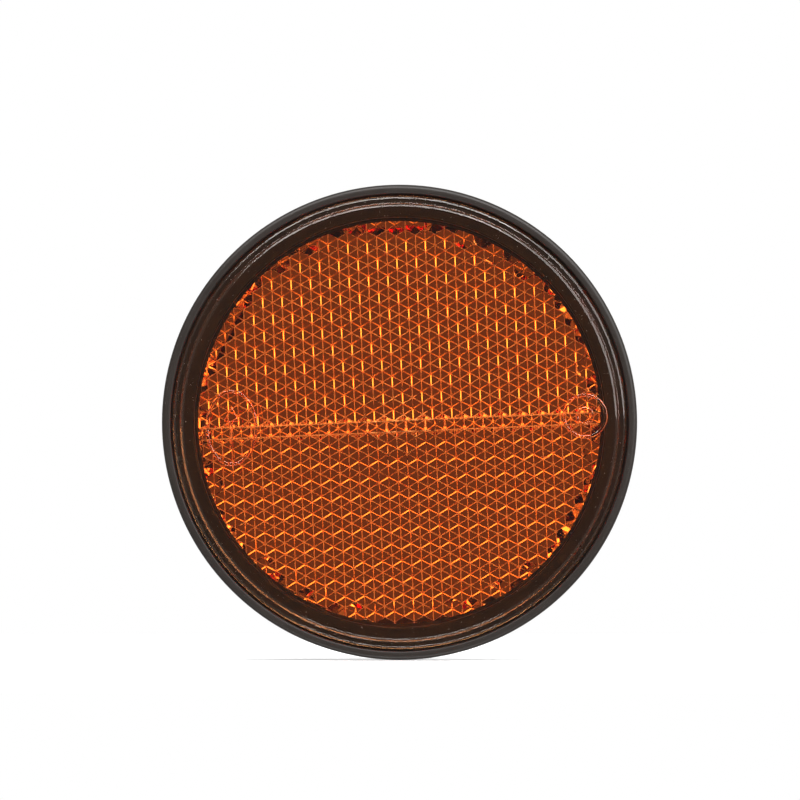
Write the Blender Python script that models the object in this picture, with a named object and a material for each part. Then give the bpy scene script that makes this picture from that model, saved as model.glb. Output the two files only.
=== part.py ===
"""Round amber reflex reflector with a threaded stud, nut and washers, at its real size.

Each piece is modelled with X to the right, Y up and Z towards the viewer of the lens, and an
empty turns them all so that the lens faces -Y and the stud points along +Y. The origin is on
the stud's axis in the mounting plane, which is the back face of the gasket. Heights are
measured forwards from that plane. Units are metres.
"""

import math

import bmesh
import bpy

# Clearances
SEAT_GAP = 0.0003  # between pieces that rest on each other
SIDE_GAP = 0.0003  # around a piece that sits in a bore or a pocket

# Housing: a moulded cup that holds the lens on a ledge and the stud's head in a hexagon pocket
HOUSING_RADIUS = 0.0300
RIM_WIDTH = 0.0011
RIM_DROP = 0.0009  # from the front of the lens down to the rim's crest
RIM_OUTER_ROUND = 0.0005
RIM_INNER_ROUND = 0.0002
BACK_WALL = 0.0020
SIDE_WALL = 0.0015
BACK_CHAMFER = 0.0005
POCKET_WALL = 0.0015
CAVITY_GAP = 0.0005  # between the prisms and the wall round them

# Gasket: a flat foam ring, let into the housing's back
GASKET_THICKNESS = 0.0015
GASKET_PROUD = 0.0008
GASKET_OUTER_RADIUS = 0.0255
GASKET_HOLE_RADIUS = 0.0060

# Lens: a clear disc with a stepped edge, cube-corner prisms behind and two marks in front
LENS_THICKNESS = 0.0019
CROWN_RADIUS = 0.02765
CROWN_STEP = 0.0007
CROWN_ROUND = 0.0005
FLANGE_ROUND = 0.00045
LENS_CHAMFER = 0.00015

# Prisms: hexagonal cube corners in two fields, with a cut row between them
PRISM_FIELD_RADIUS = 0.0254
PRISM_WIDTH = 0.00245
PRISM_CLEARANCE = 0.0005  # from the head of the stud to the prisms' tips
PRISM_SHOULDER = 0.00015  # wall of a prism field below its shallowest corners
PRISM_TURN = math.radians(2.4)
CUT_ROW_TOP = 0.00021
CUT_ROW_HEIGHT = 0.00138
FIELD_SLOT = 0.00008  # slot between one prism field and the next
UPPER_PHASE = -0.00070
LOWER_PHASE = 0.00080

# Marks: plain raised rings on the front of the lens, one with an arrow that shows which way is up
MARK_HEIGHT = 0.00015
MARK_LINE = 0.00032
MARK_ROOT = 0.0004  # how far a mark reaches into the lens, so that they are one body
OVAL_AT = (-0.0212, -0.0007)
OVAL_RADII = (0.0033, 0.0048)
ARROW_LENGTH = 0.0056
ARROW_HEAD = 0.0020
ROUND_AT = (0.0234, 0.0008)
ROUND_RADIUS = 0.00285
ROUND_CENTRE_RADIUS = 0.0012

# Stud: an M5 bolt with a thin hexagon head, and its seal
STUD_RADIUS = 0.0025
STUD_LENGTH = 0.0160
STUD_TIP_CHAMFER = 0.0004
STUD_HEAD_FLATS = 0.0080
STUD_HEAD_HEIGHT = 0.0020
SEAL_CORD_RADIUS = 0.00045

# Nut and washers on the stud
FLAT_WASHER_RADIUS = 0.0050
FLAT_WASHER_THICKNESS = 0.0010
LOCK_WASHER_RADIUS = 0.0046
LOCK_WASHER_THICKNESS = 0.0012
LOCK_WASHER_SPLIT = math.radians(8.0)
NUT_FLATS = 0.0080
NUT_HEIGHT = 0.0040
NUT_CORNER_CHAMFER = math.radians(30.0)

# Roundness
LARGE_SEGMENTS = 72
SMALL_SEGMENTS = 32
SEAL_CORD_SEGMENTS = 10
ARC_STEPS = 3
SHARP_ANGLE = math.radians(30.0)

# Places that follow from the sizes above
HOUSING_BACK = GASKET_PROUD
RECESS_FLOOR = GASKET_THICKNESS + SEAT_GAP
CUP_FLOOR = HOUSING_BACK + BACK_WALL
HEAD_BACK = CUP_FLOOR + SEAT_GAP
HEAD_FRONT = HEAD_BACK + STUD_HEAD_HEIGHT
CUBE_EDGE = PRISM_WIDTH / math.sqrt(2.0)
CORNER_RISE = CUBE_EDGE / math.sqrt(3.0)
HEXAGON_SIDE = PRISM_WIDTH / math.sqrt(3.0)
PRISM_TIP = HEAD_FRONT + PRISM_CLEARANCE
PRISM_ROOT = PRISM_TIP + 2.0 * CORNER_RISE
LENS_BACK = PRISM_ROOT + PRISM_SHOULDER
LENS_FRONT = LENS_BACK + LENS_THICKNESS
FLANGE_FRONT = LENS_FRONT - CROWN_STEP
BORE_RADIUS = HOUSING_RADIUS - RIM_WIDTH
FLANGE_RADIUS = BORE_RADIUS - SIDE_GAP
RIM_CREST = LENS_FRONT - RIM_DROP
LEDGE = LENS_BACK - SEAT_GAP
CAVITY_RADIUS = PRISM_FIELD_RADIUS + CAVITY_GAP
SHANK_BORE_RADIUS = STUD_RADIUS + SIDE_GAP
NUT_BORE_RADIUS = STUD_RADIUS + SIDE_GAP
WASHER_HOLE_RADIUS = STUD_RADIUS + SIDE_GAP
SEAL_RADIUS = SHANK_BORE_RADIUS + SEAL_CORD_RADIUS
SEAL_GROOVE_RADIUS = SEAL_RADIUS + SEAL_CORD_RADIUS + SIDE_GAP
SEAL_GROOVE_FLOOR = CUP_FLOOR - 2.0 * SEAL_CORD_RADIUS - SEAT_GAP / 2.0
POCKET_FLATS = STUD_HEAD_FLATS + 2.0 * SIDE_GAP
POCKET_BOSS_RADIUS = POCKET_FLATS / math.sqrt(3.0) + POCKET_WALL
FLAT_WASHER_BACK = HOUSING_BACK - SEAT_GAP - FLAT_WASHER_THICKNESS
LOCK_WASHER_BACK = FLAT_WASHER_BACK - SEAT_GAP - LOCK_WASHER_THICKNESS
NUT_BACK = LOCK_WASHER_BACK - SEAT_GAP - NUT_HEIGHT
CUT_ROW_BOTTOM = CUT_ROW_TOP - CUT_ROW_HEIGHT


def clear_scene():
    for item in list(bpy.data.objects):
        bpy.data.objects.remove(item, do_unlink=True)


def make_material(name, colour, roughness, metallic=0.0):
    material = bpy.data.materials.new(name)
    material.use_nodes = True
    shader = material.node_tree.nodes["Principled BSDF"]
    shader.inputs["Base Color"].default_value = (*colour, 1.0)
    shader.inputs["Roughness"].default_value = roughness
    shader.inputs["Metallic"].default_value = metallic
    return material


def add_object(name, bm, parent, material=None):
    """The bmesh as a named object in its parent's frame, with its faces pointing out."""
    bmesh.ops.recalc_face_normals(bm, faces=bm.faces)
    mesh = bpy.data.meshes.new(name)
    bm.to_mesh(mesh)
    bm.free()
    mesh.shade_smooth()
    mesh.set_sharp_from_angle(angle=SHARP_ANGLE)
    piece = bpy.data.objects.new(name, mesh)
    bpy.context.scene.collection.objects.link(piece)
    piece.parent = parent
    if material is not None:
        mesh.materials.append(material)
    return piece


def add_empty(name, parent=None):
    empty = bpy.data.objects.new(name, None)
    bpy.context.scene.collection.objects.link(empty)
    empty.parent = parent
    return empty


def combine(piece, other, operation):
    """Adds or cuts the other object with a Boolean, and keeps it out of the model."""
    other.hide_render = True
    other.display_type = "WIRE"
    boolean = piece.modifiers.new(other.name, "BOOLEAN")
    boolean.operation = operation
    boolean.solver = "EXACT"
    boolean.object = other


def arc(centre, radius, start, end, steps=ARC_STEPS):
    """Points on an arc in the (radius, height) plane, from the start angle to the end, in degrees."""
    points = []
    for i in range(steps + 1):
        angle = math.radians(start + (end - start) * i / steps)
        points.append((centre[0] + radius * math.cos(angle), centre[1] + radius * math.sin(angle)))
    return points


def turned(profile, segments, closed):
    """A turned body. A closed profile makes a ring, and an open one starts and ends on the axis."""
    bm = bmesh.new()
    rings = []
    for radius, height in profile:
        if radius == 0.0:
            rings.append([bm.verts.new((0.0, 0.0, height))] * segments)
            continue
        ring = []
        for i in range(segments):
            angle = 2.0 * math.pi * i / segments
            ring.append(bm.verts.new((radius * math.cos(angle), radius * math.sin(angle), height)))
        rings.append(ring)
    pairs = list(zip(rings, rings[1:]))
    if closed:
        pairs.append((rings[-1], rings[0]))
    for inner, outer in pairs:
        for i in range(segments):
            j = (i + 1) % segments
            corners = [inner[i], inner[j], outer[j], outer[i]]
            bm.faces.new(list(dict.fromkeys(corners)))
    return bm


def extruded(loops, low, high):
    """A flat body between two heights. The first loop is its outline and the second, if any, its hole."""
    bm = bmesh.new()
    ends = []
    for height in (low, high):
        rings = [[bm.verts.new((x, y, height)) for x, y in loop] for loop in loops]
        ends.append(rings)
        if len(rings) == 1:
            bm.faces.new(rings[0])
            continue
        outer, inner = rings
        for i in range(len(outer)):
            j = (i + 1) % len(outer)
            bm.faces.new((outer[i], outer[j], inner[j], inner[i]))
    for bottom, top in zip(*ends):
        for i in range(len(bottom)):
            j = (i + 1) % len(bottom)
            bm.faces.new((bottom[i], bottom[j], top[j], top[i]))
    return bm


def ellipse(centre, radii, segments=SMALL_SEGMENTS):
    points = []
    for i in range(segments):
        angle = 2.0 * math.pi * i / segments
        points.append((centre[0] + radii[0] * math.cos(angle), centre[1] + radii[1] * math.sin(angle)))
    return points


def hexagon(flats):
    return ellipse((0.0, 0.0), (flats / math.sqrt(3.0), flats / math.sqrt(3.0)), 6)


def prism_cells(first_centre, row_step):
    """Centres of the hexagons in rows that start at the first centre and go up or down."""
    rows = int(2.0 * PRISM_FIELD_RADIUS / (1.5 * HEXAGON_SIDE)) + 1
    reach = int(PRISM_FIELD_RADIUS / PRISM_WIDTH) + 2
    for row in range(rows):
        shift = PRISM_WIDTH / 2.0 if row % 2 else 0.0
        for column in range(-reach, reach + 1):
            x = first_centre[0] + shift + column * PRISM_WIDTH
            y = first_centre[1] + row * row_step
            if math.hypot(x, y) < PRISM_FIELD_RADIUS + HEXAGON_SIDE:
                yield x, y


def add_cube_corner(bm, centre, stem):
    """Three square faces of a cube that meet in a tip; one of their edges points along the stem angle."""
    tip = bm.verts.new((centre[0], centre[1], PRISM_TIP))
    around = []
    for i in range(6):
        angle = math.radians(stem + 60.0 * i)
        rise = CORNER_RISE if i % 2 == 0 else 2.0 * CORNER_RISE
        x = centre[0] + HEXAGON_SIDE * math.cos(angle)
        y = centre[1] + HEXAGON_SIDE * math.sin(angle)
        around.append(bm.verts.new((x, y, PRISM_TIP + rise)))
    for i in (0, 2, 4):
        bm.faces.new((tip, around[i], around[i + 1], around[(i + 2) % 6]))


def cut_away(bm, point, normal):
    """Cuts the mesh with a plane and removes what lies on the side that the normal points to."""
    geometry = bm.verts[:] + bm.edges[:] + bm.faces[:]
    bmesh.ops.bisect_plane(bm, geom=geometry, plane_co=point, plane_no=normal, clear_outer=True)


def prism_field(bm, cells, stem, bottom, top):
    """One field of cube corners between two lines and the round edge, closed inside the lens."""
    field = bmesh.new()
    for centre in cells:
        add_cube_corner(field, centre, stem)
    bmesh.ops.remove_doubles(field, verts=field.verts, dist=HEXAGON_SIDE / 100.0)
    cut_away(field, (0.0, bottom, 0.0), (0.0, -1.0, 0.0))
    cut_away(field, (0.0, top, 0.0), (0.0, 1.0, 0.0))
    for i in range(LARGE_SEGMENTS):
        angle = 2.0 * math.pi * i / LARGE_SEGMENTS
        normal = (math.cos(angle), math.sin(angle), 0.0)
        cut_away(field, [PRISM_FIELD_RADIUS * c for c in normal], normal)
    rim = [edge for edge in field.edges if edge.is_boundary]
    walls = bmesh.ops.extrude_edge_only(field, edges=rim)["geom"]
    for vertex in (item for item in walls if isinstance(item, bmesh.types.BMVert)):
        vertex.co.z = LENS_BACK + LENS_THICKNESS / 2.0
    cap = [item for item in walls if isinstance(item, bmesh.types.BMEdge) and item.is_boundary]
    bmesh.ops.edgeloop_fill(field, edges=cap)
    mesh = bpy.data.meshes.new("prism_field")
    field.to_mesh(mesh)
    field.free()
    bm.from_mesh(mesh)
    bpy.data.meshes.remove(mesh)


def prisms():
    """The two prism fields and the cut row between them, turned a little about the lens's axis."""
    row = 1.5 * HEXAGON_SIDE
    half_slot = FIELD_SLOT / 2.0
    upper = prism_cells((UPPER_PHASE, CUT_ROW_TOP + HEXAGON_SIDE), row)
    lower = prism_cells((LOWER_PHASE, CUT_ROW_BOTTOM - HEXAGON_SIDE), -row)
    between = prism_cells((LOWER_PHASE + PRISM_WIDTH / 2.0, CUT_ROW_BOTTOM + row - HEXAGON_SIDE), row)
    bm = bmesh.new()
    prism_field(bm, upper, 90.0, CUT_ROW_TOP + half_slot, PRISM_FIELD_RADIUS)
    prism_field(bm, between, -90.0, CUT_ROW_BOTTOM + half_slot, CUT_ROW_TOP - half_slot)
    prism_field(bm, lower, -90.0, -PRISM_FIELD_RADIUS, CUT_ROW_BOTTOM - half_slot)
    return bm


def arrow(centre):
    """Outline of an arrow that points up."""
    half_line = MARK_LINE / 2.0
    half_head = ARROW_HEAD / 2.0
    foot = centre[1] - ARROW_LENGTH / 2.0
    tip = centre[1] + ARROW_LENGTH / 2.0
    neck = tip - ARROW_HEAD
    across = (half_line, half_line, half_head, 0.0, -half_head, -half_line, -half_line)
    along = (foot, neck, neck, tip, neck, neck, foot)
    return [(centre[0] + x, y) for x, y in zip(across, along)]


def ring_loops(centre, radii):
    inner = (radii[0] - MARK_LINE, radii[1] - MARK_LINE)
    return [ellipse(centre, radii), ellipse(centre, inner)]


def make_lens(parent):
    edge = LENS_CHAMFER
    profile = [(0.0, LENS_BACK), (FLANGE_RADIUS - edge, LENS_BACK), (FLANGE_RADIUS, LENS_BACK + edge)]
    flange_centre = (FLANGE_RADIUS - FLANGE_ROUND, FLANGE_FRONT - FLANGE_ROUND)
    profile += arc(flange_centre, FLANGE_ROUND, 0.0, 90.0)
    profile.append((CROWN_RADIUS, FLANGE_FRONT))
    crown_centre = (CROWN_RADIUS - CROWN_ROUND, LENS_FRONT - CROWN_ROUND)
    profile += arc(crown_centre, CROWN_ROUND, 0.0, 90.0)
    profile.append((0.0, LENS_FRONT))
    material = make_material("amber_acrylic", (0.85, 0.22, 0.01), 0.06)
    lens = add_object("lens", turned(profile, LARGE_SEGMENTS, closed=False), parent, material)
    corners = add_object("prisms", prisms(), parent)
    corners.rotation_euler.z = PRISM_TURN
    combine(lens, corners, "UNION")
    low = LENS_FRONT - MARK_ROOT
    high = LENS_FRONT + MARK_HEIGHT
    marks = {
        "oval_mark": ring_loops(OVAL_AT, OVAL_RADII),
        "arrow_mark": [arrow(OVAL_AT)],
        "round_mark": ring_loops(ROUND_AT, (ROUND_RADIUS, ROUND_RADIUS)),
        "centre_mark": ring_loops(ROUND_AT, (ROUND_CENTRE_RADIUS, ROUND_CENTRE_RADIUS)),
    }
    for name, loops in marks.items():
        combine(lens, add_object(name, extruded(loops, low, high), parent), "UNION")


def housing_profile():
    """The cup's section, from the stud's bore out along the back, up the rim and back inside."""
    groove_inner = CAVITY_RADIUS + SIDE_WALL
    groove_outer = HOUSING_RADIUS - SIDE_WALL
    groove_top = LEDGE - SIDE_WALL
    recess_outer = GASKET_OUTER_RADIUS + SIDE_GAP
    recess_inner = GASKET_HOLE_RADIUS - SIDE_GAP
    outer_round = (HOUSING_RADIUS - RIM_OUTER_ROUND, RIM_CREST - RIM_OUTER_ROUND)
    inner_round = (BORE_RADIUS + RIM_INNER_ROUND, RIM_CREST - RIM_INNER_ROUND)
    profile = [(SHANK_BORE_RADIUS, HOUSING_BACK), (recess_inner, HOUSING_BACK)]
    profile += [(recess_inner, RECESS_FLOOR), (recess_outer, RECESS_FLOOR)]
    profile += [(recess_outer, HOUSING_BACK), (groove_inner, HOUSING_BACK)]
    profile += [(groove_inner, groove_top), (groove_outer, groove_top)]
    profile += [(groove_outer, HOUSING_BACK), (HOUSING_RADIUS - BACK_CHAMFER, HOUSING_BACK)]
    profile.append((HOUSING_RADIUS, HOUSING_BACK + BACK_CHAMFER))
    profile += arc(outer_round, RIM_OUTER_ROUND, 0.0, 90.0)
    profile += arc(inner_round, RIM_INNER_ROUND, 90.0, 180.0)
    profile += [(BORE_RADIUS, LEDGE), (CAVITY_RADIUS, LEDGE), (CAVITY_RADIUS, CUP_FLOOR)]
    profile += [(POCKET_BOSS_RADIUS, CUP_FLOOR), (POCKET_BOSS_RADIUS, HEAD_FRONT)]
    profile += [(SEAL_GROOVE_RADIUS, HEAD_FRONT), (SEAL_GROOVE_RADIUS, SEAL_GROOVE_FLOOR)]
    profile.append((SHANK_BORE_RADIUS, SEAL_GROOVE_FLOOR))
    return profile


def make_housing(parent):
    material = make_material("black_abs", (0.020, 0.020, 0.021), 0.42)
    body = turned(housing_profile(), LARGE_SEGMENTS, closed=True)
    housing = add_object("housing", body, parent, material)
    pocket = extruded([hexagon(POCKET_FLATS)], CUP_FLOOR, HEAD_FRONT + POCKET_WALL)
    combine(housing, add_object("head_pocket", pocket, parent), "DIFFERENCE")


def make_gasket(parent):
    material = make_material("black_foam_rubber", (0.030, 0.030, 0.030), 0.85)
    inner = GASKET_HOLE_RADIUS
    outer = GASKET_OUTER_RADIUS
    profile = [(inner, 0.0), (outer, 0.0), (outer, GASKET_THICKNESS), (inner, GASKET_THICKNESS)]
    add_object("base_gasket", turned(profile, LARGE_SEGMENTS, closed=True), parent, material)


def make_stud(parent):
    material = make_material("zinc_plated_steel", (0.62, 0.62, 0.60), 0.30, 1.0)
    tip = HEAD_BACK - STUD_LENGTH
    inside_head = HEAD_BACK + STUD_HEAD_HEIGHT / 2.0
    profile = [(0.0, tip), (STUD_RADIUS - STUD_TIP_CHAMFER, tip), (STUD_RADIUS, tip + STUD_TIP_CHAMFER)]
    profile += [(STUD_RADIUS, inside_head), (0.0, inside_head)]
    stud = add_object("stud", turned(profile, SMALL_SEGMENTS, closed=False), parent, material)
    head = extruded([hexagon(STUD_HEAD_FLATS)], HEAD_BACK, HEAD_FRONT)
    combine(stud, add_object("stud_head", head, parent), "UNION")


def make_seal(parent):
    material = make_material("nitrile_rubber", (0.025, 0.025, 0.025), 0.55)
    centre = (SEAL_RADIUS, SEAL_GROOVE_FLOOR + SEAT_GAP / 2.0 + SEAL_CORD_RADIUS)
    circle = arc(centre, SEAL_CORD_RADIUS, 0.0, 360.0, SEAL_CORD_SEGMENTS)[:-1]
    add_object("stud_seal", turned(circle, SMALL_SEGMENTS, closed=True), parent, material)


def make_flat_washer(parent):
    material = make_material("zinc_plated_washer", (0.64, 0.64, 0.62), 0.28, 1.0)
    low = FLAT_WASHER_BACK
    high = low + FLAT_WASHER_THICKNESS
    hole = WASHER_HOLE_RADIUS
    edge = FLAT_WASHER_RADIUS
    profile = [(hole, low), (edge, low), (edge, high), (hole, high)]
    add_object("flat_washer", turned(profile, SMALL_SEGMENTS, closed=True), parent, material)


def make_lock_washer(parent):
    """A split ring: a flat C between two heights."""
    material = make_material("zinc_plated_spring_steel", (0.58, 0.58, 0.57), 0.33, 1.0)
    start = math.pi / 2.0 + LOCK_WASHER_SPLIT / 2.0
    sweep = 2.0 * math.pi - LOCK_WASHER_SPLIT
    angles = [start + sweep * i / SMALL_SEGMENTS for i in range(SMALL_SEGMENTS + 1)]
    low = LOCK_WASHER_BACK
    section = [(WASHER_HOLE_RADIUS, low), (LOCK_WASHER_RADIUS, low)]
    section += [(r, h + LOCK_WASHER_THICKNESS) for r, h in reversed(section)]
    bm = bmesh.new()
    slices = []
    for angle in angles:
        slices.append([bm.verts.new((r * math.cos(angle), r * math.sin(angle), h)) for r, h in section])
    for here, there in zip(slices, slices[1:]):
        for i in range(4):
            j = (i + 1) % 4
            bm.faces.new((here[i], here[j], there[j], there[i]))
    bm.faces.new(slices[0])
    bm.faces.new(slices[-1])
    add_object("lock_washer", bm, parent, material)


def make_nut(parent):
    """A hexagon nut whose corners are turned down at both ends, with a plain bore."""
    material = make_material("zinc_plated_nut", (0.62, 0.62, 0.60), 0.30, 1.0)
    high = NUT_BACK + NUT_HEIGHT
    nut = add_object("hex_nut", extruded([hexagon(NUT_FLATS)], NUT_BACK, high), parent, material)
    flat = NUT_FLATS / 2.0
    corner = NUT_FLATS / math.sqrt(3.0)
    fall = (corner - flat) * math.tan(NUT_CORNER_CHAMFER)
    profile = [(0.0, NUT_BACK), (flat, NUT_BACK), (corner, NUT_BACK + fall)]
    profile += [(corner, high - fall), (flat, high), (0.0, high)]
    turning = turned(profile, SMALL_SEGMENTS, closed=False)
    combine(nut, add_object("nut_turning", turning, parent), "INTERSECT")
    circle = ellipse((0.0, 0.0), (NUT_BORE_RADIUS, NUT_BORE_RADIUS))
    bore = extruded([circle], NUT_BACK - SEAT_GAP, high + SEAT_GAP)
    combine(nut, add_object("nut_bore", bore, parent), "DIFFERENCE")


def build():
    clear_scene()
    reflector = add_empty("reflector_frame")
    reflector.rotation_euler.x = math.pi / 2.0
    washers = add_empty("washer_slide_axis", reflector)
    nut = add_empty("nut_spin_axis", washers)
    make_lens(reflector)
    make_housing(reflector)
    make_gasket(reflector)
    make_stud(reflector)
    make_seal(reflector)
    make_flat_washer(washers)
    make_lock_washer(washers)
    make_nut(nut)


build()
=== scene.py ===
"""A round amber reflex reflector with a threaded stud and its fixings, in a white studio."""

import math

import bmesh
import bpy
from mathutils import Matrix, Vector


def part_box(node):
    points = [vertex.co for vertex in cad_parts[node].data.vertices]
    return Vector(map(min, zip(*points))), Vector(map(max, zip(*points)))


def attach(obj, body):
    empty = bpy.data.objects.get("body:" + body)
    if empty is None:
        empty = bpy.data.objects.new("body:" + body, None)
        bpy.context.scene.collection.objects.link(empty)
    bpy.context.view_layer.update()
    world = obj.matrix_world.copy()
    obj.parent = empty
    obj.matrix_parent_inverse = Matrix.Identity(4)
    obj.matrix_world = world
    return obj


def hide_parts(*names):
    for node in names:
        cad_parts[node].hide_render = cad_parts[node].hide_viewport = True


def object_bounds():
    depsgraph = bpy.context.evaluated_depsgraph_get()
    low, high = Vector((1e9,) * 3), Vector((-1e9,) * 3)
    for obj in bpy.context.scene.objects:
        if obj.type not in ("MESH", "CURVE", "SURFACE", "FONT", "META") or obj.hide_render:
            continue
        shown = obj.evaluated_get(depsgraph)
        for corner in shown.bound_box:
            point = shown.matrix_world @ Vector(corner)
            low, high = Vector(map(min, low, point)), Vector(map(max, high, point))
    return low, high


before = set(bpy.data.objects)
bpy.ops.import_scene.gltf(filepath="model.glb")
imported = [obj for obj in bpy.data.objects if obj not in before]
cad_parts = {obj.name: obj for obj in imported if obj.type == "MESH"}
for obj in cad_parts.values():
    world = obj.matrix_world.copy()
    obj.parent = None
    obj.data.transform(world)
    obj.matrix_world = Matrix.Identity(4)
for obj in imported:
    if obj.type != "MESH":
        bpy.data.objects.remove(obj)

cad_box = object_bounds()

# Housing. A round cup moulded in black ABS with a fine satin grain. The lens sits on its inner
# ledge, a hexagon pocket in its floor keeps the stud's head from turning, its floor is sprayed
# with a pale primer that backs the prisms, and its back has a recess and a coring groove.
mm = 0.001
scene = bpy.context.scene
housing_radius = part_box("housing")[1][0]
housing_back = -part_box("housing")[1][1]
rim_crest = -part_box("housing")[0][1]
rim_width = 1.1 * mm
lens_ledge = rim_crest - 1.3 * mm
cavity_radius = 25.9 * mm
cup_floor = housing_back + 2.0 * mm
recess_floor = housing_back + 1.0 * mm
recess_radii = (5.7 * mm, 25.8 * mm)
groove_radii = (27.4 * mm, 28.5 * mm)
groove_top = lens_ledge - 1.5 * mm
parting_line = (3.6 * mm, 0.04 * mm)
shank_bore = 2.8 * mm
seal_groove_radius = 4.0 * mm
seal_groove_floor = 1.75 * mm
pocket_flats = 8.6 * mm
boss_radius = pocket_flats / math.sqrt(3.0) + 1.5 * mm
boss_top = cup_floor + 2.3 * mm
moulded_round = 0.2 * mm
rim_round = 0.5 * mm
pocket_overcut = 1.5 * mm
primer_radius = 25.3 * mm
primer_colour = (0.84, 0.81, 0.75)
large_segments = 192
to_front = Matrix.Rotation(math.pi / 2.0, 4, "X")  # shapes are made with their front along +Z


def rounded_outline(corners, steps=4):
    """An outline from corners given as (radius, height, round)."""
    points = []
    for i, (radius, height, bend) in enumerate(corners):
        here = Vector((radius, height))
        if bend == 0.0:
            points.append(here)
            continue
        back = (Vector(corners[i - 1][:2]) - here).normalized()
        on = (Vector(corners[(i + 1) % len(corners)][:2]) - here).normalized()
        half = back.angle(on) / 2.0
        centre = here + (back + on).normalized() * (bend / math.sin(half))
        start = here + back * (bend / math.tan(half)) - centre
        end = here + on * (bend / math.tan(half)) - centre
        first = math.atan2(start.y, start.x)
        sweep = math.remainder(math.atan2(end.y, end.x) - first, 2.0 * math.pi)
        for k in range(steps + 1):
            angle = first + sweep * k / steps
            points.append(centre + bend * Vector((math.cos(angle), math.sin(angle))))
    return points


def turned(outline, segments):
    """A body turned about the axis: a ring, or a solid if its outline starts and ends on the axis."""
    bm = bmesh.new()
    rings = []
    for radius, height in outline:
        if radius == 0.0:
            rings.append([bm.verts.new((0.0, 0.0, height))] * segments)
            continue
        ring = []
        for i in range(segments):
            angle = 2.0 * math.pi * i / segments
            ring.append(bm.verts.new((radius * math.cos(angle), radius * math.sin(angle), height)))
        rings.append(ring)
    pairs = list(zip(rings, rings[1:]))
    if outline[0][0] > 0.0:
        pairs.append((rings[-1], rings[0]))
    for inner, outer in pairs:
        for i in range(segments):
            j = (i + 1) % segments
            bm.faces.new(list(dict.fromkeys([inner[i], inner[j], outer[j], outer[i]])))
    return bm


def extruded(loops, low, high):
    """A flat body between two heights. The first loop is its outline and the second, if any, its hole."""
    bm = bmesh.new()
    ends = []
    for height in (low, high):
        rings = [[bm.verts.new((x, y, height)) for x, y in loop] for loop in loops]
        ends.append(rings)
        if len(rings) == 1:
            bm.faces.new(rings[0])
            continue
        outer, inner = rings
        for i in range(len(outer)):
            j = (i + 1) % len(outer)
            bm.faces.new((outer[i], outer[j], inner[j], inner[i]))
    for bottom, top in zip(*ends):
        for i in range(len(bottom)):
            j = (i + 1) % len(bottom)
            bm.faces.new((bottom[i], bottom[j], top[j], top[i]))
    return bm


def ellipse(centre, radii, segments):
    angles = [2.0 * math.pi * i / segments for i in range(segments)]
    return [(centre[0] + radii[0] * math.cos(a), centre[1] + radii[1] * math.sin(a)) for a in angles]


def hexagon(flats):
    return ellipse((0.0, 0.0), (flats / math.sqrt(3.0), flats / math.sqrt(3.0)), 6)


def shaped(name, bm):
    """The bmesh as an object, with its faces pointing out."""
    bmesh.ops.recalc_face_normals(bm, faces=bm.faces)
    mesh = bpy.data.meshes.new(name)
    bm.to_mesh(mesh)
    bm.free()
    piece = bpy.data.objects.new(name, mesh)
    scene.collection.objects.link(piece)
    return piece


def set_modifiers(piece):
    """The piece with its modifiers made part of its mesh."""
    depsgraph = bpy.context.evaluated_depsgraph_get()
    mesh = bpy.data.meshes.new_from_object(piece.evaluated_get(depsgraph))
    piece.modifiers.clear()
    piece.data = mesh


def combine(piece, other, operation, solver="EXACT"):
    boolean = piece.modifiers.new(other.name, "BOOLEAN")
    boolean.operation = operation
    boolean.solver = solver
    boolean.object = other
    set_modifiers(piece)
    bpy.data.objects.remove(other)


def soften_shading(piece, sharp_angle):
    """Smooth shading that keeps flat faces flat and leaves edges over the angle sharp."""
    piece.data.shade_smooth()
    piece.data.set_sharp_from_angle(angle=math.radians(sharp_angle))
    weighted = piece.modifiers.new("weighted", "WEIGHTED_NORMAL")
    weighted.keep_sharp = True
    set_modifiers(piece)


def put_in_place(piece, node, material, body):
    """Turns the finished piece to face -Y, paints it and lets it stand for its CAD node."""
    piece.data.transform(to_front)
    piece.data.materials.clear()
    piece.data.materials.append(material)
    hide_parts(node)
    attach(piece, body)


def new_material(name, colour, roughness, metallic=0.0):
    material = bpy.data.materials.new(name)
    material.use_nodes = True
    shader = material.node_tree.nodes["Principled BSDF"]
    shader.inputs["Base Color"].default_value = (*colour, 1.0)
    shader.inputs["Roughness"].default_value = roughness
    shader.inputs["Metallic"].default_value = metallic
    return material


def grain(material, size, detail=3.0, stretch=(1.0, 1.0, 1.0)):
    """Noise with features of this size, longer along an axis whose stretch is below 1."""
    nodes = material.node_tree.nodes
    links = material.node_tree.links
    place = nodes.new("ShaderNodeTexCoord")
    mapping = nodes.new("ShaderNodeMapping")
    mapping.inputs["Scale"].default_value = stretch
    noise = nodes.new("ShaderNodeTexNoise")
    noise.inputs["Scale"].default_value = 1.0 / size
    noise.inputs["Detail"].default_value = detail
    links.new(place.outputs["Object"], mapping.inputs["Vector"])
    links.new(mapping.outputs["Vector"], noise.inputs["Vector"])
    return noise.outputs["Fac"]


def ranged(material, value, source, target):
    """The value taken from one range to another and kept inside it."""
    node = material.node_tree.nodes.new("ShaderNodeMapRange")
    node.inputs["From Min"].default_value, node.inputs["From Max"].default_value = source
    node.inputs["To Min"].default_value, node.inputs["To Max"].default_value = target
    material.node_tree.links.new(value, node.inputs["Value"])
    return node.outputs["Result"]


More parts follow.
